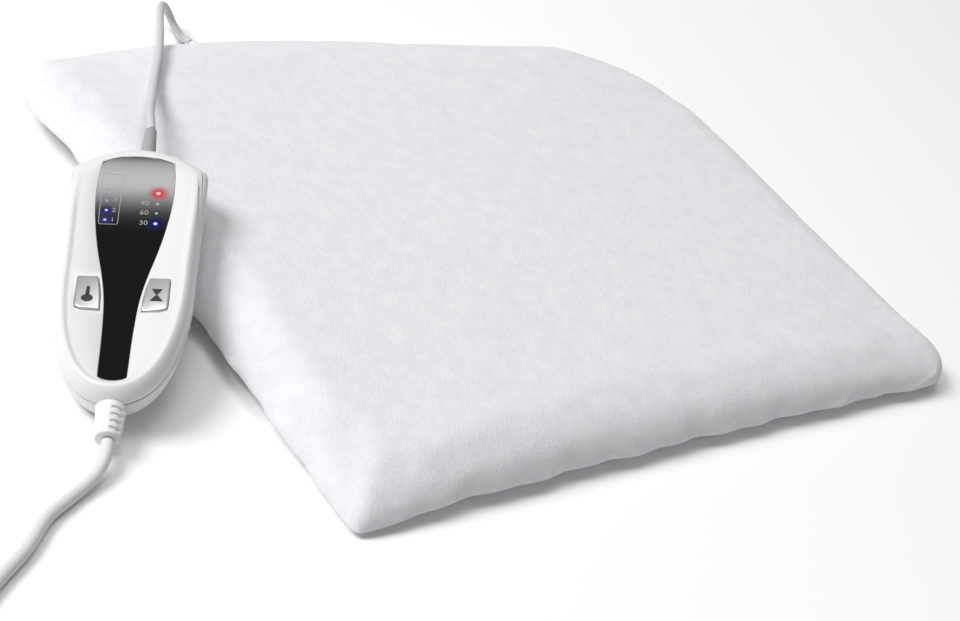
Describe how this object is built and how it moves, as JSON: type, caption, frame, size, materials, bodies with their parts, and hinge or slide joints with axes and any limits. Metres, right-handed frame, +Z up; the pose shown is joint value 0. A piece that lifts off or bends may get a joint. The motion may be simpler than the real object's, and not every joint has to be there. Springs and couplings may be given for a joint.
{
  "type": "heating pad",
  "caption": "Flat fleece heating pad with a leaning hand control, a thin lead between them, and a coiled mains lead with a flat two-pin plug.",
  "frame": {"origin": "centre of the pad's flat underside, on the surface it lies on", "axes": "+X along the pad's long near side, +Y across the pad from its near side to its back side, +Z up"},
  "size_m": [0.7484, 0.4205, 0.0577],
  "materials": {
    "fleece": "brushed",
    "white_plastic": "gloss",
    "window_plastic": "gloss",
    "key_plastic": "silver satin",
    "cord_plastic": "satin",
    "sleeve_plastic": "matte",
    "pin_metal": "bright"
  },
  "bodies": {
    "pad_and_control": {"pad": "fleece", "pad_sleeve": "sleeve_plastic", "pad_lead": "cord_plastic", "control_upper_shell": "white_plastic", "control_lower_shell": "white_plastic", "control_window": "window_plastic", "lead_sleeve": "sleeve_plastic", "mains_sleeve": "sleeve_plastic", "mains_lead": "cord_plastic", "mains_coil": "cord_plastic", "mains_tail": "cord_plastic", "plug_sleeve": "sleeve_plastic", "plug_body": "white_plastic", "plug_pin_left": "pin_metal", "plug_pin_right": "pin_metal"},
    "left_key": {"key_left": "key_plastic"},
    "right_key": {"key_right": "key_plastic"}
  },
  "joints": [
    {"name": "left_key_press", "type": "slide", "parent": "pad_and_control", "child": "left_key", "axis": [0.342, 0, -0.9397], "range_m": [0, 0.0008], "stiffness_N_per_m": 600},
    {"name": "right_key_press", "type": "slide", "parent": "pad_and_control", "child": "right_key", "axis": [0.342, 0, -0.9397], "range_m": [0, 0.0008], "stiffness_N_per_m": 600}
  ]
}
